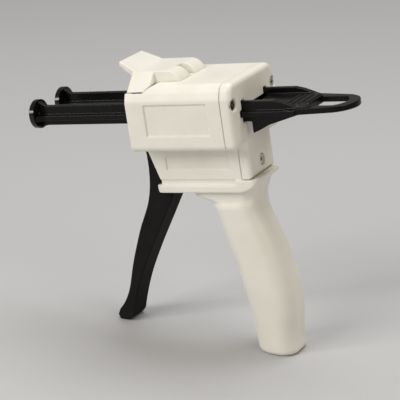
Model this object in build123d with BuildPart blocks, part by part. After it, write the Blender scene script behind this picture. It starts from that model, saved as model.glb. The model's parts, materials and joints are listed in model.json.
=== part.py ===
from build123d import *
from math import cos, radians, sin
import os

os.makedirs("parts", exist_ok=True)

# Hand-held dispensing tool for a twin-barrel cartridge. The pieces are drawn in the tool's own
# frame: x runs from the pushers to the pull loop, y to the right-hand side, z up, with the origin
# on the front face of the housing, at the height of the push rods and midway between them.

# Push rods and pushers
rod_spacing = 26.8
rod_height = 10.8
web_z = -0.8
rib_z = -1.8
rod_web = 3.0
rod_rib_width = 8.0
rod_rib_thickness = 2.8
rod_front_x = -61.5
disc_diameter = 15.8
disc_thickness = 3.1
disc_chamfer = 0.5
stud_diameter = 5.0
stud_length = 1.8
gusset_length = 4.5
gusset_inset = 0.8
rack_pitch = 3.0
rack_depth = 0.9
rack_land = 2.4
rack_teeth = 36
rack_start = 15.0

# Pull loop behind the housing
fin_x = 66.4
fin_depth = 6.2
fin_base = 4.0
fin_run = 14.0
fin_end_depth = 0.7
crest_end_x = 80.0
crest_slope = 5.0
crest_drop = 1.2
loop_start_x = 92.0
loop_end_x = 120.4
loop_end_wall = 6.0
loop_hole_x = 97.0
loop_half_width = 13.2
loop_wall = 4.4
loop_thickness = 3.0
loop_bow = 11.2
loop_shoulder = 6.0
bridge_start_x = 62.6
bridge_thickness = 2.4
bridge_hollow = 3.0
ridge_start_x = 84.5
ridge_pitch = 3.6
ridge_count = 4
ridge_width = 1.4
ridge_height = 0.7

# Housing block
wall = 2.4
body_length = 55.7
body_width = 55.0
body_top = 16.1
body_bottom = -18.8
shoulder_run = 3.0
shoulder_drop = 8.0
shoulder_radius = 6.0
bottom_radius = 3.5
front_radius = 1.0
front_sill = 12.6
sill_length = 10.5
sill_rise = 11.0
sill_shoulder = 2.6
sill_dip = 1.4
panel_x = 11.0
panel_length = 37.0
panel_z = -10.2
panel_height = 16.8
panel_depth = 0.9

# Cartridge seat
barrel_diameter = 19.0
cradle_wall = 3.5
side_wall = 3.0
flange_thickness = 6.0
flange_drop = 12.0
pocket_gap = 0.5
pocket_depth = 7.4
bulkhead = 2.4

# Neck under the block
neck_width = 29.0
neck_wall = 3.0
neck_bottom = -44.7
neck_front_top = 0.6
neck_front_bottom = 7.3
collar_width = 31.0
collar_overhang = 3.2
collar_foot = 1.6
collar_height = 4.3
collar_corner = 4.0
collar_rise_x = 52.0
collar_rear = 64.6
collar_rear_height = 1.2
groove_depth = 0.6
label_x = 12.0
label_length = 37.6
label_z = -32.4
label_height = 7.6
label_depth = 0.8

# Grip, as sections on level planes of the tool: height, front, rear, half width
grip_sections = (
    (-40.5, 26.0, 62.9, 14.8),
    (-48.0, 30.6, 60.0, 14.0),
    (-56.0, 33.2, 59.6, 13.5),
    (-68.0, 36.4, 63.9, 13.2),
    (-84.0, 40.6, 68.9, 13.2),
    (-100.0, 43.7, 71.8, 13.3),
    (-116.0, 46.0, 71.8, 13.4),
    (-130.0, 47.4, 70.2, 13.4),
    (-142.0, 48.2, 68.8, 13.4),
)
grip_corner = 10.0
grip_wall = 3.0
base_radius = 2.8
plug_thickness = 3.0

# Rear cover
cover_thickness = 6.3
cover_wall = 2.8
cover_bottom = -37.5
cover_radius = 2.8
cover_screw_inset = 4.0
cover_screw_z = 5.0
cover_screw_low_z = -30.4
screw_diameter = 3.0
screw_head_diameter = 5.8
screw_head_height = 1.8
screw_length = 10.0
screw_boss_diameter = 7.0
screw_edge = 0.6
screw_sink = 0.3
drive_span = 3.0
drive_width = 0.7
drive_depth = 1.0

# Slot for the trigger's arm, and the mouth for its blade
arm_slot_start = 20.5
arm_slot_end = 44.0
mouth_x = 25.5
pin_seat = 2.0

# Latch over the cartridge seat
knuckle_radius = 7.8
latch_pin_x = 20.5
latch_pin_z = 14.0
latch_pin_diameter = 2.5
latch_pin_length = 34.0
latch_boss_depth = 3.0
latch_boss_wall = 1.0
latch_boss_cover = 0.8
latch_top = 21.8
latch_plate = 2.7
latch_half_width = 14.8
hood_inset = 3.1
hood_front_x = 0.7
hood_length = 12.7
hood_wall = 2.4
arm_gap = 6.0
arm_root_x = 20.0
lip_end_x = -8.0
lip_rise = 5.4
lip_bevel = 0.5
lip_thickness = 2.3
lip_taper = 0.9
lip_half_width = 12.6

# Trigger, pawl and their pins
trigger_width = 15.0
trigger_pin_x = 33.0
trigger_pin_z = -31.0
trigger_pin_diameter = 4.0
trigger_boss_radius = 6.0
pawl_pin_x = 37.0
pawl_pin_z = -13.5
pawl_pin_diameter = 3.0
pawl_width = 6.4
pawl_nose_gap = 0.9
pawl_hub_radius = 3.2
pawl_nose_height = 3.4
fork_radius = 8.6
nose_x = 29.0
trigger_front = (
    (-4.0, -18.4), (-3.2, -28.0), (-3.6, -37.7), (-5.1, -46.6), (-8.0, -55.0), (-13.3, -65.3),
    (-18.5, -77.3), (-23.6, -90.8), (-27.0, -101.5), (-31.0, -109.5), (-35.7, -115.0),
)
trigger_toe = ((-37.3, -118.0), (-36.4, -120.8), (-34.2, -121.2), (-29.4, -121.2))
trigger_rear = (
    (-27.6, -119.0), (-24.4, -109.5), (-19.6, -98.0), (-13.8, -87.0), (-6.9, -75.2), (0.4, -63.4),
    (7.9, -51.0), (14.4, -41.0),
)

# Springs and brakes
spring_wire = 0.8
return_spring_radius = 2.5
return_spring_z = -38.0
return_spring_turns = 6
brake_x = 41.0
brake_length = 9.0
brake_width = 6.0
brake_thickness = 2.4
brake_spring_radius = 1.9
brake_spring_turns = 5
brake_post = 2.2
brake_post_length = 4.0
brake_chamfer = 0.8
pawl_spring_radius = 1.6
pawl_spring_length = 5.0
pawl_spring_x = 32.0
pawl_spring_turns = 4
pawl_spring_seat = 0.8
spring_seat_gap = 0.1

# Fits
running_gap = 0.3
pin_gap = 0.05
slide_gap = 0.4

# Stance: the tool stands on the sole of its grip and the toe of its trigger, nose down
lean = 9.2
floor_drop = 125.2
sole_x = 60.0

rod_side = rod_spacing / 2
flange_width = body_width - 2 * side_wall
cover_screw_y = body_width / 2 - cover_screw_inset
hood_half_width = body_width / 2 - hood_inset
cover_screws = (
    (-cover_screw_y, cover_screw_z),
    (cover_screw_y, cover_screw_z),
    (0, cover_screw_low_z),
)
body_side = body_width / 2
neck_side = neck_width / 2
rack_y = rod_side - rod_rib_width / 2 + rack_land / 2
rod_top = web_z + rod_height / 2
rod_bottom = web_z - rod_height / 2
rib_bottom = rib_z - rod_rib_thickness / 2
rack_tip_z = rib_bottom - rack_depth
cover_face_x = body_length + cover_thickness
screw_seat_x = cover_face_x - cover_wall + screw_sink
pocket_x = cradle_wall + flange_thickness
bulkhead_x = pocket_x + pocket_depth
cavity_x = bulkhead_x + bulkhead
sole_z = (-floor_drop - sole_x * sin(radians(lean))) / cos(radians(lean))
sole = Plane(origin=(sole_x, 0, sole_z), x_dir=(cos(radians(lean)), 0, -sin(radians(lean))),
             z_dir=(sin(radians(lean)), 0, cos(radians(lean))))


def across(x):
    """A plane across the tool at x, with its first axis to the right and its second one up."""
    return Plane(origin=(x, 0, 0), x_dir=(0, 1, 0), z_dir=(1, 0, 0))


def beside(y):
    """A plane along the tool at y, with its first axis to the rear and its second one up."""
    return Plane(origin=(0, y, 0), x_dir=(1, 0, 0), z_dir=(0, -1, 0))


def rod_places():
    return Locations((-rod_side, 0), (rod_side, 0))


def rod_passage(gap):
    """The crossed sections of both rods with their racks, grown by a gap."""
    with Locations((-rod_side, web_z), (rod_side, web_z)):
        Rectangle(rod_web + 2 * gap, rod_height + 2 * gap)
    with Locations((-rod_side, rib_z), (rod_side, rib_z)):
        Rectangle(rod_rib_width + 2 * gap, rod_rib_thickness + 2 * gap)
    rack_z = (rib_z + rack_tip_z) / 2
    with Locations((-rack_y, rack_z), (rack_y, rack_z)):
        Rectangle(rack_land + 2 * gap, rib_z - rack_tip_z + 2 * gap)


def block_section(inset):
    """The section of the block, its top edges sloped and rounded, drawn in by an inset."""
    with Locations((0, (body_top + body_bottom) / 2)):
        Rectangle(body_width - 2 * inset, body_top - body_bottom - 2 * inset)
    chamfer(vertices().group_by(Axis.Y)[-1], shoulder_run, shoulder_drop,
            reference=edges().sort_by(Axis.Y)[-1])
    fillet(vertices().group_by(Axis.Y)[1:], shoulder_radius)


def cylinder_across(x, z, radius, half_length, mode=Mode.ADD):
    """A round bar along y, centred on the tool's middle plane."""
    with BuildSketch(beside(0)) as section:
        with Locations((x, z)):
            Circle(radius)
    extrude(section.sketch, amount=half_length, both=True, mode=mode)


def coil(radius, length, turns):
    """A round-wire compression spring of the given overall length, standing on the origin."""
    rise = length - spring_wire
    with BuildPart() as spring:
        with BuildLine(Plane.XY.offset(spring_wire / 2)):
            path = Helix(pitch=rise / turns, height=rise, radius=radius)
        with BuildSketch(Plane(origin=path @ 0, z_dir=path % 0)):
            Circle(spring_wire / 2)
        sweep(path=path, is_frenet=True)
    return spring.part


# Plunger: two crossed rods, the bridge between them and the pull loop, one black moulding
with BuildPart() as plunger:
    with BuildSketch(across(rod_front_x)):
        with Locations((-rod_side, rib_z), (rod_side, rib_z)):
            Rectangle(rod_rib_width, rod_rib_thickness)
    extrude(amount=loop_start_x - rod_front_x)
    flare = disc_diameter / 2 - gusset_inset
    fin_z = rod_bottom - fin_depth
    loop_inner = loop_half_width - loop_wall
    for side in (-rod_side, rod_side):
        with BuildSketch(beside(side)):
            with BuildLine():
                Polyline(
                    (rod_front_x, -flare), (rod_front_x, flare),
                    (rod_front_x + gusset_length, rod_top), (crest_end_x, rod_top),
                    (crest_end_x + crest_slope, rod_top - crest_drop), (loop_start_x + 2, 0),
                    (loop_start_x + 2, -loop_thickness), (fin_x + fin_run, rod_bottom - fin_end_depth),
                    (fin_x + 2 * fin_run / 3, rod_bottom - fin_depth / 3),
                    (fin_x + fin_base, fin_z + fin_depth / 4), (fin_x, fin_z), (fin_x, rod_bottom),
                    (rod_front_x + gusset_length, rod_bottom), (rod_front_x, -flare),
                )
            make_face()
        extrude(amount=rod_web / 2, both=True)
        with BuildSketch(Plane.XY.offset(rib_z)):
            with BuildLine():
                Polyline(
                    (rod_front_x, side - flare), (rod_front_x, side + flare),
                    (rod_front_x + gusset_length, side + rod_rib_width / 2),
                    (rod_front_x + gusset_length, side - rod_rib_width / 2),
                    (rod_front_x, side - flare),
                )
            make_face()
        extrude(amount=rod_rib_thickness / 2, both=True)
    # Bridge plate between the rods, its front edge hollowed
    with BuildSketch(Plane.XY):
        with BuildLine():
            ThreePointArc((bridge_start_x, -rod_side), (bridge_start_x + bridge_hollow, 0),
                          (bridge_start_x, rod_side))
            Polyline((bridge_start_x, rod_side), (loop_start_x, rod_side), (loop_hole_x, loop_inner),
                     (loop_hole_x, -loop_inner), (loop_start_x, -rod_side), (bridge_start_x, -rod_side))
        make_face()
    extrude(amount=bridge_thickness / 2, both=True)
    # Low ridges across the bridge, for the thumb
    with BuildSketch(Plane.XY.offset(bridge_thickness / 2)):
        for ridge in range(ridge_count):
            with Locations((ridge_start_x + ridge * ridge_pitch, 0)):
                Rectangle(ridge_width, 2 * loop_inner)
    extrude(amount=ridge_height)
    # Pull loop, flat and open in the middle
    loop_round_x = loop_end_x - loop_bow
    rod_outer = rod_side + rod_rib_width / 2
    with BuildSketch(Plane.XY.offset(-loop_thickness)) as loop_sketch:
        with BuildLine():
            Polyline((loop_round_x, -loop_half_width), (loop_start_x - loop_shoulder, -rod_outer),
                     (loop_start_x - loop_shoulder, rod_outer), (loop_round_x, loop_half_width))
            ThreePointArc((loop_round_x, loop_half_width), (loop_end_x, 0),
                          (loop_round_x, -loop_half_width))
        make_face()
        with BuildLine():
            Polyline((loop_round_x, -loop_inner), (loop_hole_x, -loop_inner),
                     (loop_hole_x, loop_inner), (loop_round_x, loop_inner))
            ThreePointArc((loop_round_x, loop_inner), (loop_end_x - loop_end_wall, 0),
                          (loop_round_x, -loop_inner))
        make_face(mode=Mode.SUBTRACT)
    extrude(amount=loop_thickness)
    # Studs that take the pushers
    with BuildSketch(across(rod_front_x)):
        with rod_places():
            Circle(stud_diameter / 2)
    extrude(amount=-stud_length)
    # Rack teeth on the undersides of the inner ribs
    for side in (-1, 1):
        with BuildSketch(beside(side * rack_y)):
            with BuildLine():
                rack_x = rod_front_x + rack_start
                teeth = [(rack_x, rib_z)]
                for tooth in range(rack_teeth):
                    teeth += [(rack_x + tooth * rack_pitch, rack_tip_z),
                              (rack_x + (tooth + 1) * rack_pitch, rib_bottom)]
                Polyline(*teeth, (rack_x + rack_teeth * rack_pitch, rib_z), close=True)
            make_face()
        extrude(amount=rack_land / 2, both=True)
plunger.part.label = "plunger"

# Pusher discs, pressed by the rods against the cartridge pistons
discs = []
for name, side in (("pusher_disc_left", -rod_side), ("pusher_disc_right", rod_side)):
    with BuildPart() as disc:
        with BuildSketch(across(rod_front_x)):
            with Locations((side, 0)):
                Circle(disc_diameter / 2)
        extrude(amount=-disc_thickness)
        chamfer(disc.edges().group_by(Axis.X)[0], disc_chamfer)
        with BuildSketch(across(rod_front_x)):
            with Locations((side, 0)):
                Circle(stud_diameter / 2 + pin_gap)
        extrude(amount=-stud_length - pin_gap, mode=Mode.SUBTRACT)
    disc.part.label = name
    discs.append(disc.part)

# Collar round the foot of the neck, rising at the rear to the bottom of the cover
collar_front = neck_front_bottom - collar_overhang
collar_low_top = neck_bottom + collar_height
collar_top = cover_bottom - running_gap
with BuildPart() as collar:
    with BuildSketch(beside(0)):
        with BuildLine():
            Polyline((collar_rear, collar_top - collar_rear_height), (collar_rear, collar_top),
                     (collar_rise_x, collar_top), (collar_rise_x, collar_low_top),
                     (collar_front, collar_low_top), (collar_front, neck_bottom + collar_foot),
                     (collar_front + collar_foot, neck_bottom), (collar_rise_x, neck_bottom))
            TangentArc((collar_rise_x, neck_bottom), (collar_rear, collar_top - collar_rear_height),
                       tangent=(1, 0))
        make_face()
    extrude(amount=collar_width / 2, both=True)
    with BuildSketch(Plane.XY.offset(neck_bottom)):
        with Locations(((collar_front + collar_rear) / 2, 0)):
            RectangleRounded(collar_rear - collar_front, collar_width, collar_corner)
    extrude(amount=collar_top - neck_bottom, mode=Mode.INTERSECT)

# Main housing: block, neck, collar and grip in one moulding, open to the rear for assembly
neck_inner = neck_side - neck_wall
neck_floor = neck_bottom + neck_wall
neck_back_x = body_length - neck_wall
with BuildPart() as main_housing:
    # Block with its rounded shoulders
    with BuildSketch(across(0)):
        block_section(0)
        fillet(vertices().group_by(Axis.Y)[0], bottom_radius)
    extrude(amount=body_length)
    fillet(main_housing.edges().group_by(Axis.X)[0], front_radius)
    # Neck, open at its front, with a groove over the collar
    with BuildSketch(beside(0)):
        with BuildLine():
            Polyline((neck_front_top, body_bottom + wall), (neck_front_bottom, cover_bottom),
                     (neck_front_bottom, collar_low_top), (body_length, collar_low_top),
                     (body_length, body_bottom + wall), close=True)
        make_face()
    extrude(amount=neck_side, both=True)
    for side in (-1, 1):
        with BuildSketch(beside(side * neck_side)):
            with Locations(((collar_front + collar_rise_x) / 2, (cover_bottom + collar_low_top) / 2)):
                Rectangle(collar_rise_x - collar_front, cover_bottom - collar_low_top)
        extrude(amount=side * groove_depth, mode=Mode.SUBTRACT)
    add(collar.part)
    # Grip
    for height, front, rear, half in grip_sections:
        with BuildSketch(Plane.XY.offset(height)):
            with Locations(((front + rear) / 2, 0)):
                RectangleRounded(rear - front, 2 * half, grip_corner)
    loft()
    split(bisect_by=sole, keep=Keep.TOP)
    fillet(main_housing.faces().sort_by(Axis((0, 0, 0), sole.z_dir))[0].edges(), base_radius)
    # Grip hollow, open at the sole
    for height, front, rear, half in grip_sections[1:]:
        with BuildSketch(Plane.XY.offset(height)):
            with Locations(((front + rear) / 2, 0)):
                RectangleRounded(rear - front - 2 * grip_wall, 2 * (half - grip_wall),
                                 grip_corner - grip_wall)
    loft(mode=Mode.SUBTRACT)
    # Hollow of the block, open to the rear
    with BuildSketch(across(cavity_x)):
        block_section(wall)
    extrude(amount=body_length - cavity_x, mode=Mode.SUBTRACT)
    # Cartridge seat: cradle for the barrels, slot for the flange, pockets for the pushers
    with BuildSketch(across(0)):
        with rod_places():
            Circle(barrel_diameter / 2)
        with Locations((0, body_top / 2 + 1)):
            Rectangle(rod_spacing + barrel_diameter, body_top + 2)
    extrude(amount=cradle_wall, mode=Mode.SUBTRACT)
    with BuildSketch(across(cradle_wall)):
        with Locations((0, (body_top + 2 - flange_drop) / 2)):
            Rectangle(flange_width, body_top + 2 + flange_drop)
    extrude(amount=flange_thickness, mode=Mode.SUBTRACT)
    with BuildSketch(across(pocket_x)):
        with rod_places():
            Circle(disc_diameter / 2 + pocket_gap)
    extrude(amount=pocket_depth, mode=Mode.SUBTRACT)
    with BuildSketch(across(bulkhead_x)):
        rod_passage(slide_gap)
    extrude(amount=bulkhead, mode=Mode.SUBTRACT)
    # Neck hollow, with its open front and the slot up into the block
    with BuildSketch(beside(0)):
        with BuildLine():
            Polyline((-1, body_bottom), (-1, neck_bottom - 3), (mouth_x, neck_bottom - 3),
                     (mouth_x + 3, neck_floor), (neck_back_x, neck_floor),
                     (neck_back_x, body_bottom), close=True)
        make_face()
    extrude(amount=neck_inner, both=True, mode=Mode.SUBTRACT)
    with BuildSketch(Plane.XY.offset(body_bottom)):
        with Locations(((arm_slot_start + arm_slot_end) / 2, 0)):
            Rectangle(arm_slot_end - arm_slot_start, trigger_width + 2 * slide_gap)
    extrude(amount=wall, mode=Mode.SUBTRACT)
    # Bosses and blind bores for the trigger pin
    for side in (-1, 1):
        with BuildSketch(beside(side * (trigger_width / 2 + slide_gap))):
            with Locations((trigger_pin_x, trigger_pin_z)):
                Circle(trigger_boss_radius - 1)
        extrude(amount=-side * (neck_inner - trigger_width / 2 - slide_gap + 0.5))
        with BuildSketch(beside(0)):
            with Locations((trigger_pin_x, trigger_pin_z)):
                Circle(trigger_pin_diameter / 2 + pin_gap)
        extrude(amount=-side * (neck_inner + pin_seat), mode=Mode.SUBTRACT)
    # Bosses for the latch pin, under the roof
    latch_boss_top = body_top - latch_boss_cover
    with BuildSketch(beside(0)):
        with Locations((latch_pin_x, (latch_boss_top + latch_pin_z - latch_boss_depth) / 2)):
            Rectangle(latch_pin_diameter + 2 * wall, latch_boss_top - latch_pin_z + latch_boss_depth)
    extrude(amount=latch_pin_length / 2 + latch_boss_wall, both=True)
    # The front of the roof is cut down to a sill, where the latch closes
    with BuildSketch(beside(0)):
        with BuildLine():
            Polyline((sill_length, front_sill), (-1, front_sill), (-1, body_top + 1),
                     (sill_length + sill_rise, body_top + 1), (sill_length + sill_rise, body_top))
            ThreePointArc((sill_length + sill_rise, body_top),
                          (sill_length + sill_shoulder, body_top - sill_dip), (sill_length, front_sill))
        make_face()
    extrude(amount=body_side + 1, both=True, mode=Mode.SUBTRACT)
    # Slots in the roof that the arms of the latch sink into
    for side in (-1, 1):
        arm_middle = (arm_gap / 2 + latch_half_width) / 2
        with BuildSketch(beside(side * arm_middle)):
            with Locations((latch_pin_x, latch_pin_z)):
                Circle(knuckle_radius + running_gap)
        extrude(amount=(latch_half_width - arm_gap / 2) / 2 + running_gap, both=True, mode=Mode.SUBTRACT)
    with BuildSketch(beside(0)):
        with Locations((latch_pin_x, latch_pin_z)):
            Circle(latch_pin_diameter / 2 + pin_gap)
    extrude(amount=latch_pin_length / 2 + pin_gap, both=True, mode=Mode.SUBTRACT)
    # Bosses and pilot holes for the cover screws
    for y, z in cover_screws:
        with BuildSketch(across(body_length - screw_length)):
            with Locations((y, z)):
                Circle(screw_boss_diameter / 2)
        extrude(amount=screw_length)
        with BuildSketch(across(body_length - screw_length + 1)):
            with Locations((y, z)):
                Circle(screw_diameter / 2)
        extrude(amount=screw_length, mode=Mode.SUBTRACT)
    # Posts under the roof for the brake springs
    with BuildSketch(Plane.XY.offset(body_top - wall)):
        with Locations((brake_x + brake_length / 2, -rod_side), (brake_x + brake_length / 2, rod_side)):
            Circle(brake_post / 2)
    extrude(amount=-brake_post_length)
    # Shallow fields on both sides of block and neck
    for side in (-1, 1):
        with BuildSketch(beside(side * body_side)):
            with Locations((panel_x + panel_length / 2, panel_z + panel_height / 2)):
                Rectangle(panel_length, panel_height)
        extrude(amount=side * panel_depth, mode=Mode.SUBTRACT)
        with BuildSketch(beside(side * neck_side)):
            with Locations((label_x + label_length / 2, label_z + label_height / 2)):
                Rectangle(label_length, label_height)
        extrude(amount=side * label_depth, mode=Mode.SUBTRACT)
main_housing.part.label = "main_housing"

# Plug that closes the grip at its sole
plug_inset = grip_wall + pin_gap
with BuildPart() as grip_plug:
    for height, front, rear, half in grip_sections[-3:]:
        with BuildSketch(Plane.XY.offset(height)):
            with Locations(((front + rear) / 2, 0)):
                RectangleRounded(rear - front - 2 * plug_inset, 2 * (half - plug_inset),
                                 grip_corner - grip_wall)
    loft()
    split(bisect_by=sole, keep=Keep.TOP)
    split(bisect_by=sole.offset(plug_thickness), keep=Keep.BOTTOM)
grip_plug.part.label = "grip_plug"

# Rear cover over block and neck
with BuildPart() as rear_cover:
    with BuildSketch(across(body_length)):
        block_section(0)
        fillet(vertices().group_by(Axis.Y)[0], bottom_radius)
        with Locations((0, (body_bottom + 1 + cover_bottom) / 2)):
            Rectangle(neck_width, body_bottom + 1 - cover_bottom)
    extrude(amount=cover_thickness)
    fillet(rear_cover.edges().group_by(Axis.X)[-1], cover_radius)
    # Hollow inside the cover, over the block
    with BuildSketch(across(body_length)):
        with Locations((0, 0)):
            Rectangle(2 * (cover_screw_y - screw_boss_diameter / 2), body_top - body_bottom - 2 * wall - 2)
    extrude(amount=cover_thickness - cover_wall, mode=Mode.SUBTRACT)
    # Opening for the rods and for the bridge between them
    with BuildSketch(across(body_length)):
        rod_passage(slide_gap)
        Rectangle(rod_spacing, bridge_thickness + 2 * slide_gap)
    extrude(amount=cover_thickness, mode=Mode.SUBTRACT)
    # Stepped screw holes
    for y, z in cover_screws:
        with BuildSketch(across(body_length)):
            with Locations((y, z)):
                Circle(screw_diameter / 2 + running_gap)
        extrude(amount=cover_thickness, mode=Mode.SUBTRACT)
        with BuildSketch(across(screw_seat_x)):
            with Locations((y, z)):
                Circle(screw_head_diameter / 2 + running_gap)
        extrude(amount=cover_thickness, mode=Mode.SUBTRACT)
rear_cover.part.label = "rear_cover"

# Cover screws with crossed drives, sunk in the cover
screws = []
for name, (y, z) in zip(("cover_screw_left", "cover_screw_right", "cover_screw_low"), cover_screws):
    with BuildPart() as screw:
        with BuildSketch(across(screw_seat_x)):
            with Locations((y, z)):
                Circle(screw_head_diameter / 2)
        extrude(amount=screw_head_height)
        fillet(screw.edges().group_by(Axis.X)[-1], screw_edge)
        with BuildSketch(across(screw_seat_x)):
            with Locations((y, z)):
                Circle(screw_diameter / 2 - pin_gap)
        extrude(amount=-screw_length)
        with BuildSketch(across(screw_seat_x + screw_head_height)):
            with Locations((y, z)):
                Rectangle(drive_span, drive_width)
                Rectangle(drive_width, drive_span)
        extrude(amount=-drive_depth, mode=Mode.SUBTRACT)
    screw.part.label = name
    screws.append(screw.part)

# Latch: a hood over the cartridge seat, two arms back to its pin, and a thumb lip
with BuildPart() as latch:
    hood_bottom = front_sill + running_gap
    hood_rear_x = hood_front_x + hood_length
    hood_roof = latch_top - latch_plate
    hood_inner_top = latch_half_width + 1 - hood_wall
    hood_inner = hood_half_width - hood_wall
    with BuildSketch(across(hood_front_x)):
        with BuildLine():
            Polyline((-hood_half_width, hood_bottom), (-latch_half_width, latch_top),
                     (latch_half_width, latch_top), (hood_half_width, hood_bottom), close=True)
        make_face()
    extrude(amount=hood_length)
    with BuildSketch(across(hood_front_x + hood_wall)):
        with BuildLine():
            Polyline((-hood_inner, hood_bottom), (-hood_inner_top, hood_roof),
                     (hood_inner_top, hood_roof), (hood_inner, hood_bottom), close=True)
        make_face()
    extrude(amount=hood_length - 2 * hood_wall, mode=Mode.SUBTRACT)
    with BuildSketch(Plane.XY.offset(latch_top)):
        with Locations(((hood_front_x + arm_root_x) / 2, 0)):
            Rectangle(arm_root_x - hood_front_x, 2 * latch_half_width)
    extrude(amount=-latch_plate)
    with BuildSketch(beside(0)):
        with BuildLine():
            Polyline((sill_length - running_gap, hood_bottom - 1), (sill_length - running_gap, hood_bottom),
                     (hood_rear_x + 1, body_top + running_gap),
                     (hood_rear_x + 1, hood_bottom - 1), close=True)
        make_face()
    extrude(amount=hood_half_width + 1, both=True, mode=Mode.SUBTRACT)
    # Arms with round knuckles on the latch pin
    arm_width = latch_half_width - arm_gap / 2
    for side in (-1, 1):
        with BuildSketch(beside(side * (arm_gap + arm_width) / 2)):
            with Locations((latch_pin_x, latch_pin_z)):
                Circle(knuckle_radius)
            with Locations(((hood_rear_x + latch_pin_x) / 2, (latch_top + body_top + running_gap) / 2)):
                Rectangle(latch_pin_x - hood_rear_x, latch_top - body_top - running_gap)
        extrude(amount=arm_width / 2, both=True)
    # Thumb lip, rising to the front and narrowing to its tip
    with BuildSketch(beside(0)):
        with BuildLine():
            Polyline((hood_front_x + 2, latch_top), (lip_end_x, latch_top + lip_rise),
                     (lip_end_x - lip_bevel, latch_top + lip_rise - lip_thickness),
                     (hood_front_x - lip_bevel, hood_roof), (hood_front_x + 2, hood_roof), close=True)
        make_face()
    extrude(amount=latch_half_width, both=True)
    for side in (-1, 1):
        with BuildSketch(Plane.XY.offset(hood_roof - 1)):
            with BuildLine():
                Polyline((hood_front_x, side * latch_half_width),
                         (lip_end_x - 2, side * (lip_half_width - lip_taper)),
                         (lip_end_x - 2, side * (latch_half_width + 1)),
                         (hood_front_x, side * (latch_half_width + 1)), close=True)
            make_face()
        extrude(amount=lip_rise + latch_plate + 2, mode=Mode.SUBTRACT)
    cylinder_across(latch_pin_x, latch_pin_z, latch_pin_diameter / 2 + pin_gap, latch_half_width + 1,
                    Mode.SUBTRACT)
latch.part.label = "latch"

# Steel pin that the latch turns on
with BuildPart() as latch_pin:
    cylinder_across(latch_pin_x, latch_pin_z, latch_pin_diameter / 2, latch_pin_length / 2)
latch_pin.part.label = "latch_pin"

# Trigger: blade in the open front of the neck, hub on its pin, forked arm up to the pawl
with BuildPart() as trigger:
    with BuildSketch(beside(0)):
        with BuildLine():
            front_edge = Spline(*trigger_front)
            toe = Polyline(trigger_front[-1], *trigger_toe, trigger_rear[0])
            rear_edge = Spline(*trigger_rear)
            Polyline(trigger_rear[-1], (trigger_pin_x - 6, trigger_pin_z - 6),
                     (trigger_pin_x + 4, return_spring_z - return_spring_radius),
                     (trigger_pin_x + 6, return_spring_z - return_spring_radius),
                     (trigger_pin_x + 6, return_spring_z + return_spring_radius),
                     (trigger_pin_x + 5.8, trigger_pin_z + 2), (pawl_pin_x + 3.6, pawl_pin_z),
                     (pawl_pin_x + 2.4, pawl_pin_z + 2.8), (pawl_pin_x - 2.4, pawl_pin_z + 2.8),
                     (pawl_pin_x - 4, pawl_pin_z - 1), (trigger_pin_x - 6, body_bottom - 2.4),
                     (trigger_front[0][0] + 2, body_bottom - running_gap), trigger_front[0])
        make_face()
    extrude(amount=trigger_width / 2, both=True)
    with BuildSketch(beside(0)):
        with Locations((pawl_pin_x, pawl_pin_z)):
            Circle(fork_radius)
    extrude(amount=pawl_width / 2 + running_gap, both=True, mode=Mode.SUBTRACT)
    cylinder_across(trigger_pin_x, trigger_pin_z, trigger_pin_diameter / 2 + pin_gap, trigger_width,
                    Mode.SUBTRACT)
    cylinder_across(pawl_pin_x, pawl_pin_z, pawl_pin_diameter / 2 + pin_gap, trigger_width, Mode.SUBTRACT)
trigger.part.label = "trigger"

# Steel pin in the blind bores of the neck
with BuildPart() as trigger_pin:
    cylinder_across(trigger_pin_x, trigger_pin_z, trigger_pin_diameter / 2, neck_inner + pin_seat - pin_gap)
trigger_pin.part.label = "trigger_pin"

# Steel pin that carries the pawl in the fork of the trigger's arm
with BuildPart() as pawl_pin:
    cylinder_across(pawl_pin_x, pawl_pin_z, pawl_pin_diameter / 2, trigger_width / 2)
pawl_pin.part.label = "pawl_pin"

# Drive pawl: a tongue on its pin with a crossbar under both racks
nose_z = rack_tip_z - pawl_nose_gap
with BuildPart() as drive_pawl:
    cylinder_across(pawl_pin_x, pawl_pin_z, pawl_hub_radius, pawl_width / 2)
    with BuildSketch(beside(0)):
        with BuildLine():
            Polyline((pawl_pin_x - 2, pawl_pin_z - 2.4), (pawl_pin_x + 2.6, pawl_pin_z + 1.6),
                     (nose_x + 5, nose_z - 2.2), (nose_x + 4.4, nose_z - 1), (nose_x, nose_z),
                     (nose_x + 0.6, nose_z - pawl_nose_height), close=True)
        make_face()
    extrude(amount=pawl_width / 2, both=True)
    with BuildSketch(beside(0)):
        with BuildLine():
            Polyline((nose_x, nose_z), (nose_x + 0.6, nose_z - pawl_nose_height),
                     (nose_x + 4.6, nose_z - pawl_nose_height),
                     (nose_x + 4.4, nose_z - 1), close=True)
        make_face()
    extrude(amount=rack_y + rack_land / 2, both=True)
    cylinder_across(pawl_pin_x, pawl_pin_z, pawl_pin_diameter / 2 + pin_gap, trigger_width, Mode.SUBTRACT)
drive_pawl.part.label = "drive_pawl"

# Return spring, between the trigger's hub and the back wall of the neck
spring_front_x = trigger_pin_x + trigger_boss_radius
spring_length = neck_back_x - spring_front_x - 2 * spring_seat_gap
trigger_spring = across(spring_front_x + spring_seat_gap).location * coil(
    return_spring_radius, spring_length, return_spring_turns)
trigger_spring = Location((0, 0, return_spring_z)) * trigger_spring
trigger_spring.label = "trigger_spring"

# Spring in the floor of the trigger's fork, lifting the pawl
pawl_spring_place = Location((pawl_spring_x, 0, pawl_pin_z - pawl_spring_length - pawl_spring_seat))
pawl_spring = pawl_spring_place * coil(pawl_spring_radius, pawl_spring_length, pawl_spring_turns)
pawl_spring.label = "pawl_spring"

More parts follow.
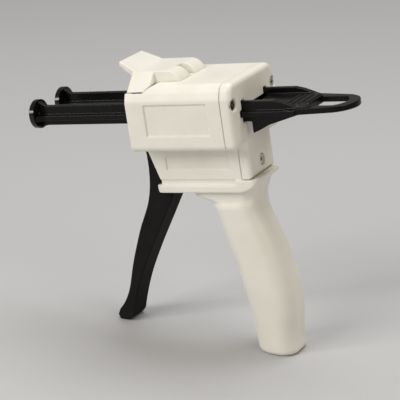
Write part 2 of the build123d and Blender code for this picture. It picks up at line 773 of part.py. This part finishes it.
# Brake shoes on the rods, each pressed down by a spring from the roof
brakes = []
shoe_bottom = rod_top + running_gap
shoe_top = shoe_bottom + brake_thickness
for name, side in (("left", -rod_side), ("right", rod_side)):
    with BuildPart() as shoe:
        with BuildSketch(Plane.XY.offset(shoe_bottom)):
            with Locations((brake_x + brake_length / 2, side)):
                Rectangle(brake_length, brake_width)
        extrude(amount=brake_thickness)
        chamfer(shoe.edges().filter_by(Axis.Y).group_by(Axis.Z)[0], brake_chamfer)
    shoe.part.label = f"brake_shoe_{name}"
    spring_place = Location((brake_x + brake_length / 2, side, shoe_top + spring_seat_gap))
    brake_spring = spring_place * coil(
        brake_spring_radius, body_top - wall - shoe_top - 2 * spring_seat_gap, brake_spring_turns)
    brake_spring.label = f"brake_spring_{name}"
    brakes += [shoe.part, brake_spring]

# The tool stands nose down on its sole and the toe of its trigger, origin in the middle of the sole
standing = Rotation(0, -lean, 0)
sole_middle = (standing * Location((sole_x, 0, sole_z))).position
standing = Location(-sole_middle) * standing

pieces = [
    main_housing.part, rear_cover.part, *screws, grip_plug.part, latch.part, latch_pin.part,
    trigger.part, trigger_pin.part, drive_pawl.part, pawl_pin.part, pawl_spring, trigger_spring,
    plunger.part, *discs, *brakes,
]
for piece in pieces:
    stood = standing * piece
    stood.label = piece.label
    export_step(stood, f"parts/{piece.label}.step")
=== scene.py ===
import json
from math import copysign, cos, radians, sin

import bpy
from mathutils import Matrix, Vector

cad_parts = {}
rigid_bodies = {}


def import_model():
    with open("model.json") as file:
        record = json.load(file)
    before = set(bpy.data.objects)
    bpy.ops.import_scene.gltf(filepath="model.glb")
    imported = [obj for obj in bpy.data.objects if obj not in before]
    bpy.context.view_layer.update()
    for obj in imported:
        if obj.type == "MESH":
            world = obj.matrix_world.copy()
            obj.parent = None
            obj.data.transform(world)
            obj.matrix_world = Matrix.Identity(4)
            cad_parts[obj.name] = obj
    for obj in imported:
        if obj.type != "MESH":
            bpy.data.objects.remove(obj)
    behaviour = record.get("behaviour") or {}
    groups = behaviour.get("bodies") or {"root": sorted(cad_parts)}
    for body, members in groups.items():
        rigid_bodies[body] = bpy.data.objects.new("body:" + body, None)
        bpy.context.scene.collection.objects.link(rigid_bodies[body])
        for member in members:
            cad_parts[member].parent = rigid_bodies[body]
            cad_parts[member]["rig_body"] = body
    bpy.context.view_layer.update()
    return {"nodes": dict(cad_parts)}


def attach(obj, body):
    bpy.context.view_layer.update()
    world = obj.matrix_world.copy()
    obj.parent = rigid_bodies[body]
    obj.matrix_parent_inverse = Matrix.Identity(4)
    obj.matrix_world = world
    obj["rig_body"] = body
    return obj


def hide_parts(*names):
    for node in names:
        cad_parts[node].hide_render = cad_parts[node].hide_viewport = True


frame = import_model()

scene = bpy.context.scene

# Main housing
# Block, neck, collar and grip are one hollow moulding in semi-gloss ivory plastic, with every
# outside edge eased over. The tool stands nose down on its grip, so its own level planes lean.

millimetre = 0.001
lean = radians(9.2)
sole = Vector((60.0, 0.0, -136.549))
level_with_tool = Matrix.Rotation(lean, 4, "Y")
stood_on_floor = Matrix.Rotation(-lean, 4, "Y")


def on_tool(x, y, z):
    """The place in the room of a point that is given in millimetres in the tool's own frame."""
    return stood_on_floor @ (Vector((x, y, z)) - sole) * millimetre


def tool_place(corner):
    """The place of a mesh corner in the tool's own frame, in millimetres."""
    return level_with_tool @ corner.co / millimetre + sole


def round_over(piece, rounds, zone=""):
    """Smooths a piece into a new mesh, all over or in one vertex group, as often as rounds says."""
    rounding = piece.modifiers.new("rounding", "SMOOTH")
    rounding.factor = 0.5
    rounding.iterations = rounds
    rounding.vertex_group = zone
    worked = piece.evaluated_get(bpy.context.evaluated_depsgraph_get())
    piece.data = bpy.data.meshes.new_from_object(worked)
    piece.data.name = piece.name
    piece.modifiers.clear()
    piece.vertex_groups.clear()


def eased(node, name, cell, rounds):
    """A closed copy of a CAD node in cells of so many millimetres, its edges rounded over."""
    piece = bpy.data.objects.new(name, frame["nodes"][node].data.copy())
    scene.collection.objects.link(piece)
    piece.data.materials.clear()
    piece.data.transform(level_with_tool)
    cells = piece.modifiers.new("cells", "REMESH")
    cells.mode = "VOXEL"
    cells.voxel_size = cell * millimetre
    round_over(piece, rounds)
    piece.data.transform(stood_on_floor)
    piece.data.shade_smooth()
    return piece


def part_way(value, start, end):
    """How far a value has come from start to end, from 0 to 1."""
    return min(1.0, max(0.0, (value - start) / (end - start)))


def gentle(share):
    """The same share from 0 to 1, with a soft start and end."""
    return share * share * (3 - 2 * share)


def cove(piece, foot, head, forward, inset):
    """Draws the grip's top in under the collar and forward, beside the trigger's path only."""
    path_side = 8.2
    full_side = 11.5
    grip_back = 54.0
    grip_front = 36.0
    sweep_start = 0.30
    sweep_end = 0.68
    inset_end = 0.5
    for corner in piece.data.vertices:
        place = tool_place(corner)
        if foot < place.z < head:
            rise = part_way(place.z, foot, head)
            beside = part_way(abs(place.y), path_side, full_side)
            ahead = part_way(place.x, grip_back, grip_front)
            place.x -= forward * gentle(part_way(rise, sweep_start, sweep_end)) * beside * ahead
            place.y -= copysign(inset * gentle(part_way(rise, 0.0, inset_end)) * beside, place.y)
            corner.co = on_tool(*place)


def soften(piece, low, high, fade, rounds):
    """Rounds a zone between two heights of the tool over more, fading out at its ends."""
    zone = piece.vertex_groups.new(name="soft_zone")
    for corner in piece.data.vertices:
        height = tool_place(corner).z
        weight = min(1.0, (height - low) / fade, (high - height) / fade)
        if weight > 0:
            zone.add([corner.index], weight, "REPLACE")
    round_over(piece, rounds, zone.name)


class Shade:
    """A socket that gives a value. Sums and products of it become Math nodes."""

    def __init__(self, tree, socket):
        self.tree = tree
        self.socket = socket

    def joined(self, operation, other):
        node = self.tree.nodes.new("ShaderNodeMath")
        node.operation = operation
        self.tree.links.new(self.socket, node.inputs[0])
        if isinstance(other, Shade):
            self.tree.links.new(other.socket, node.inputs[1])
        else:
            node.inputs[1].default_value = other
        return Shade(self.tree, node.outputs[0])

    def __add__(self, other):
        return self.joined("ADD", other)

    __radd__ = __add__

    def __mul__(self, other):
        return self.joined("MULTIPLY", other)

    __rmul__ = __mul__


class Finish:
    """The nodes of a material or of the room: the one that shows, and those that vary it."""

    def __init__(self, holder, shown="Principled BSDF", **fixed):
        holder.use_nodes = True
        self.tree = holder.node_tree
        self.shown = self.tree.nodes[shown]
        for socket, value in fixed.items():
            self.shown.inputs[socket.replace("_", " ")].default_value = value

    def add(self, kind, settings, sockets, output=0):
        """Adds a node of any kind: first its settings, then its sockets' values or links."""
        node = self.tree.nodes.new("ShaderNode" + kind)
        for key, value in settings.items():
            if key == "stops":
                for stop, (place, shade) in zip(node.color_ramp.elements, value):
                    stop.position = place
                    stop.color = (shade, shade, shade, 1)
            else:
                setattr(node, key, value)
        for key, value in sockets.items():
            if isinstance(value, Shade):
                self.tree.links.new(value.socket, node.inputs[key])
            else:
                node.inputs[key].default_value = value
        return Shade(self.tree, node.outputs[output])

    def place(self, *stretch):
        """Places on the piece, stretched by three factors where grain runs one way."""
        raw = self.add("TexCoord", {}, {}, output="Object")
        turned = self.add("Mapping", {}, {"Vector": raw, "Rotation": (0, lean, 0)})
        if not stretch:
            return turned
        return self.add("VectorMath", {"operation": "MULTIPLY"}, {0: turned, 1: stretch})

    def noise(self, place, scale, detail=2.0):
        return self.add("TexNoise", {}, {"Vector": place, "Scale": scale, "Detail": detail})

    def ramp(self, value, *stops):
        return self.add("ValToRGB", {"stops": stops}, {"Fac": value})

    def blend(self, factor, first, second):
        """Mixes two colours, which a Mix node takes at its inputs 6 and 7 and gives at output 2."""
        sockets = {0: factor, 6: (*first, 1), 7: (*second, 1)}
        return self.add("Mix", {"data_type": "RGBA"}, sockets, output=2)

    def paint(self, **varied):
        for socket, value in varied.items():
            self.tree.links.new(value.socket, self.shown.inputs[socket.replace("_", " ")])

    def relief(self, height, depth):
        """Fine relief, its depth in millimetres."""
        sockets = {"Strength": 1.0, "Distance": depth * millimetre, "Height": height}
        self.paint(Normal=self.add("Bump", {}, sockets))


def ivory_plastic():
    material = bpy.data.materials.new("moulded_ivory")
    finish = Finish(material, IOR=1.49)
    place = finish.place()
    cloud = finish.noise(place, scale=45.0)
    grain = finish.noise(place, scale=1500.0, detail=3.0)
    handled = finish.noise(place, scale=160.0, detail=4.0)
    tint = finish.ramp(cloud, (0.35, 0.0), (0.65, 1.0))
    deeper_ivory = (0.795, 0.770, 0.688)
    paler_ivory = (0.835, 0.816, 0.746)
    finish.paint(
        Base_Color=finish.blend(tint, deeper_ivory, paler_ivory),
        Roughness=0.27 + 0.12 * handled + 0.08 * grain,
    )
    finish.relief(grain, depth=0.012)
    return material


def dress(piece, material, slot, *nodes):
    """Gives a new piece its material, puts it on the body of the CAD nodes that it stands for and
    hides those nodes. The slot is not used.
    """
    piece.data.materials.append(material)
    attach(piece, frame["nodes"][nodes[0]]["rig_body"])
    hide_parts(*nodes)


def repaint(material, *nodes):
    """Gives CAD nodes that stay in view a material."""
    for node in nodes:
        mesh = frame["nodes"][node].data
        mesh.materials.clear()
        mesh.materials.append(material)


ivory = ivory_plastic()
housing = eased("main_housing", "housing_moulding", cell=0.30, rounds=1)
cove(housing, foot=-54.5, head=-44.8, forward=9.0, inset=1.7)
soften(housing, low=-46.5, high=-37.0, fade=1.5, rounds=30)
soften(housing, low=-60.0, high=-44.5, fade=3.0, rounds=60)
dress(housing, ivory, "ivory_plastic", "main_housing")

# Grip plug
# The plug closes the hollow grip at its sole. It is moulded in the housing's ivory plastic and
# pressed in flush.

repaint(ivory, "grip_plug")

# Rear cover
# A shallow ivory cap over the back of block and neck, its rim rounded, with the opening that
# the rods run through. It meets the housing at a fine dark parting line.

cover = eased("rear_cover", "cover_moulding", cell=0.30, rounds=4)
housing_back = 55.7
parting_gap = 0.40
cover_front = housing_back + parting_gap
for corner in cover.data.vertices:
    place = tool_place(corner)
    if place.x < cover_front:
        corner.co = on_tool(cover_front, place.y, place.z)
dress(cover, ivory, "ivory_plastic", "rear_cover")

# Cover screws
# Three nickel-plated steel screws hold the cover, one at each side of the block and one low on
# the neck. Their heads have crossed drives and sit sunk in it.


def steel(name, colour, roughness, streak):
    """Bare or plated steel, with fine marks that three factors stretch along the piece."""
    material = bpy.data.materials.new(name)
    finish = Finish(material, Metallic=1.0)
    drawn = finish.noise(finish.place(*streak), scale=900.0, detail=3.0)
    worn = finish.noise(finish.place(), scale=350.0, detail=3.0)
    dull = tuple(0.72 * part for part in colour)
    finish.paint(
        Base_Color=finish.blend(worn, dull, colour),
        Roughness=roughness + 0.14 * drawn + 0.08 * worn,
    )
    finish.relief(drawn, depth=0.004)
    return material


plated = steel("nickel_plate", (0.72, 0.69, 0.63), roughness=0.14, streak=(0.3, 1.0, 1.0))
repaint(plated, "cover_screw_left", "cover_screw_right", "cover_screw_low")

# Latch and its pin
# The ivory latch closes over the cartridge seat: a hood with two arms back to a steel pin, and a
# thumb lip that rises to the front.

latch = eased("latch", "latch_moulding", cell=0.30, rounds=4)
dress(latch, ivory, "ivory_plastic", "latch")
ground = steel("ground_steel", (0.62, 0.62, 0.63), roughness=0.20, streak=(1.0, 0.1, 1.0))
repaint(ground, "latch_pin")

# Trigger and its pin
# A curved blade of satin black plastic, moulded solid, that the fingers pull. It turns on a
# ground steel pin in the open front of the neck.


def black_plastic(name, gloss, roughness, lightness):
    """Black plastic with a faint grain along its length, of a gloss and lightness of its own."""
    material = bpy.data.materials.new(name)
    finish = Finish(material, IOR=1.45, Specular_IOR_Level=gloss)
    deeper_black = tuple(lightness * part for part in (0.0048, 0.0042, 0.0044))
    paler_black = tuple(lightness * part for part in (0.0082, 0.0072, 0.0076))
    along = finish.noise(finish.place(0.15, 1.0, 1.0), scale=260.0, detail=3.0)
    grain = finish.noise(finish.place(), scale=1300.0, detail=3.0)
    handled = finish.noise(finish.place(), scale=120.0, detail=4.0)
    finish.paint(
        Base_Color=finish.blend(handled, deeper_black, paler_black),
        Roughness=roughness + 0.14 * along + 0.10 * handled,
    )
    finish.relief(grain, depth=0.004)
    return material


satin = black_plastic("satin_black", gloss=0.01, roughness=0.34, lightness=2.5)
trigger = eased("trigger", "trigger_moulding", cell=0.36, rounds=5)
dress(trigger, satin, "black_plastic", "trigger")
repaint(ground, "trigger_pin")

# Pawl, springs and brakes
# A hardened steel pawl on its own pin works the racks under the rods, and springs of drawn wire
# bring it and the trigger back. Sprung brake shoes of smooth acetal rub on the rods.

hardened = steel("dark_steel", (0.40, 0.40, 0.42), roughness=0.30, streak=(1.0, 1.0, 0.2))
repaint(hardened, "drive_pawl")
repaint(ground, "pawl_pin")
wire = steel("drawn_steel", (0.55, 0.55, 0.56), roughness=0.24, streak=(1.0, 1.0, 1.0))
repaint(wire, "pawl_spring", "trigger_spring", "brake_spring_left", "brake_spring_right")


def acetal():
    material = bpy.data.materials.new("smooth_acetal")
    finish = Finish(material, IOR=1.48)
    cloud = finish.noise(finish.place(), scale=400.0)
    deeper_white = (0.80, 0.80, 0.78)
    paler_white = (0.86, 0.86, 0.84)
    finish.paint(
        Base_Color=finish.blend(cloud, deeper_white, paler_white),
        Roughness=0.34 + 0.12 * cloud,
    )
    return material


repaint(acetal(), "brake_shoe_left", "brake_shoe_right")

# Plunger and pushers
# Two crossed rods, the bridge between them and the pull loop are one black moulding. Round
# black pushers are pressed on the studs at the front ends.

semi_gloss = black_plastic("moulded_black", gloss=0.22, roughness=0.14, lightness=0.6)
plunger = eased("plunger", "plunger_moulding", cell=0.26, rounds=9)
dress(plunger, semi_gloss, "black_plastic", "plunger")
polished = black_plastic("polished_black", gloss=0.5, roughness=0.04, lightness=0.6)
repaint(polished, "pusher_disc_left", "pusher_disc_right")

# Floor, light and camera
# A pale paper floor under broad soft light from above and the near side, with a small lamp that
# glints on the pushers. The room is paler where the camera sees it, and the lens is long.


def pale_paper():
    material = bpy.data.materials.new("floor_paper")
    finish = Finish(material, Roughness=0.9)
    cloud = finish.noise(finish.place(), scale=6.0)
    paper = (0.52, 0.52, 0.53)
    finish.paint(Base_Color=finish.blend(cloud, paper, tuple(0.97 * part for part in paper)))
    return material


floor_reach = 6.0
signs = (-1, -1), (1, -1), (1, 1), (-1, 1)
floor_mesh = bpy.data.meshes.new("floor")
floor_mesh.from_pydata([(x * floor_reach, y * floor_reach, 0) for x, y in signs], [], [(0, 1, 2, 3)])
floor_mesh.materials.append(pale_paper())
floor = bpy.data.objects.new("floor", floor_mesh)
scene.collection.objects.link(floor)


def soft_light(name, place, target, size, power, colour):
    lamp = bpy.data.lights.new(name, "AREA")
    lamp.shape = "RECTANGLE"
    lamp.size, lamp.size_y = size
    lamp.energy = power
    lamp.color = colour
    holder = bpy.data.objects.new(name, lamp)
    holder.location = place
    holder.rotation_euler = (target - Vector(place)).to_track_quat("-Z", "Y").to_euler()
    scene.collection.objects.link(holder)


middle = on_tool(40, 0, -50)
pushers = on_tool(-60, 0, 0)
white = (1.0, 1.0, 1.0)
near_white = (1.0, 0.985, 0.95)
warm_white = (1.0, 0.88, 0.74)
soft_light("key", (-0.65, -1.10, 1.05), middle, size=(0.8, 0.8), power=11.5, colour=near_white)
soft_light("top", (0.10, 0.35, 1.30), middle, size=(0.7, 0.7), power=10.0, colour=white)
soft_light("side", (1.2, -0.5, 0.75), middle, size=(0.6, 0.8), power=3.8, colour=warm_white)
soft_light("low", (-0.2, -1.5, 0.10), middle, size=(1.2, 0.4), power=0.6, colour=near_white)
soft_light("glint", (-0.93, -0.94, 0.52), pushers, size=(0.18, 0.30), power=2.4, colour=near_white)

room_light = 0.25
more_where_seen = 0.30
scene.world = bpy.data.worlds.new("room")
room = Finish(scene.world, "Background", Color=(1.0, 0.95, 0.86, 1))
seen = room.add("LightPath", {}, {}, output="Is Camera Ray")
room.paint(Strength=room_light + more_where_seen * seen)

azimuth = 0.469029
elevation = 0.354155
shift_across = -16.1666
shift_up = -3.1240
distance = 960.643
across_view = Vector((cos(azimuth), sin(azimuth), 0))
level_view = Vector((sin(azimuth), -cos(azimuth), 0))
toward_view = level_view * cos(elevation) + Vector((0, 0, sin(elevation)))
up_view = toward_view.cross(across_view)
stand = shift_across * across_view + shift_up * up_view + distance * toward_view
turn = Matrix((across_view, up_view, toward_view)).transposed().to_4x4()
lens = bpy.data.cameras.new("camera")
lens.sensor_width = 36.0
lens.lens = 162.744
lens.clip_start = 0.05
camera = bpy.data.objects.new("camera", lens)
camera.matrix_world = Matrix.Translation(middle + stand * millimetre) @ turn
scene.collection.objects.link(camera)
scene.camera = camera
scene.view_settings.view_transform = "Standard"
